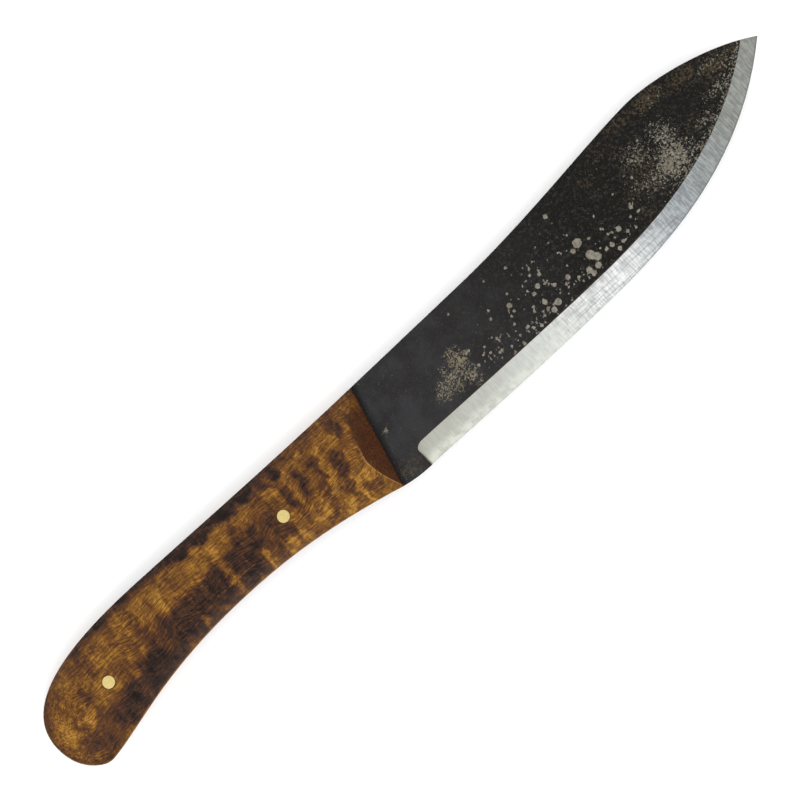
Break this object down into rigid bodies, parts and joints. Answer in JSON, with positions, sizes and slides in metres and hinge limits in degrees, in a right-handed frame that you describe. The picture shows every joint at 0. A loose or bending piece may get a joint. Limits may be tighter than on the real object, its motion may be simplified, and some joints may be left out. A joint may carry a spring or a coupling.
{
  "type": "fixed-blade knife",
  "caption": "Forged fixed-blade knife with a wide upswept blade, a black scale finish above a bright ground bevel, and curly maple handle scales held by flush brass pins.",
  "frame": {"origin": "centre of the footprint, level with the flat of the lower handle scale, with the knife lying on its left side", "axes": "+X from the handle to the tip, +Y from the cutting edge to the spine, +Z out of the knife's right side"},
  "size_m": [0.2996, 0.0396, 0.0184],
  "materials": {
    "forged_steel": "black forge scale with worn spots on the flats, satin ground bevel",
    "stained_maple": "stained curly maple, oiled, satin",
    "brass": "sanded flush, fine brushed"
  },
  "bodies": {
    "root": {"blade": "forged_steel", "right_handle_scale": "stained_maple", "left_handle_scale": "stained_maple", "front_pin": "brass", "rear_pin": "brass"}
  },
  "joints": []
}
